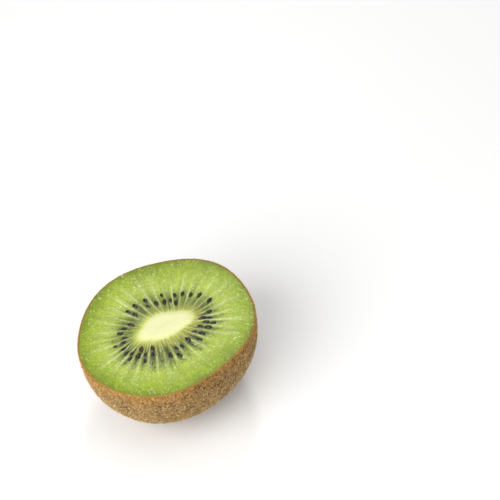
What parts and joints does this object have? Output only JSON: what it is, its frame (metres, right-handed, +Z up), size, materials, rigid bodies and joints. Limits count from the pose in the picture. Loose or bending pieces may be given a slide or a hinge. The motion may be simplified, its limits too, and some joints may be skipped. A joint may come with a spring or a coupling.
{
  "type": "kiwi fruit half",
  "caption": "Half of a fuzzy brown kiwi fruit cut across its middle, standing on its stem end with green flesh, pale core and dark seeds on top.",
  "frame": {"origin": "under the middle of the cut face, on the surface that the half stands on", "axes": "+X along the long axis of the oval cut face, +Z up out of the cut face, along the fruit's own long axis"},
  "size_m": [0.0538, 0.0484, 0.0314],
  "materials": {
    "flesh": "wet, translucent yellow-green fruit flesh with pale rays",
    "core": "moist cream-coloured core",
    "skin": "dull brown skin under fine matted golden fuzz",
    "seed": "glossy, nearly black",
    "stem": "dry, dull dark brown"
  },
  "bodies": {
    "root": {"kiwi_half": "flesh"}
  },
  "joints": []
}
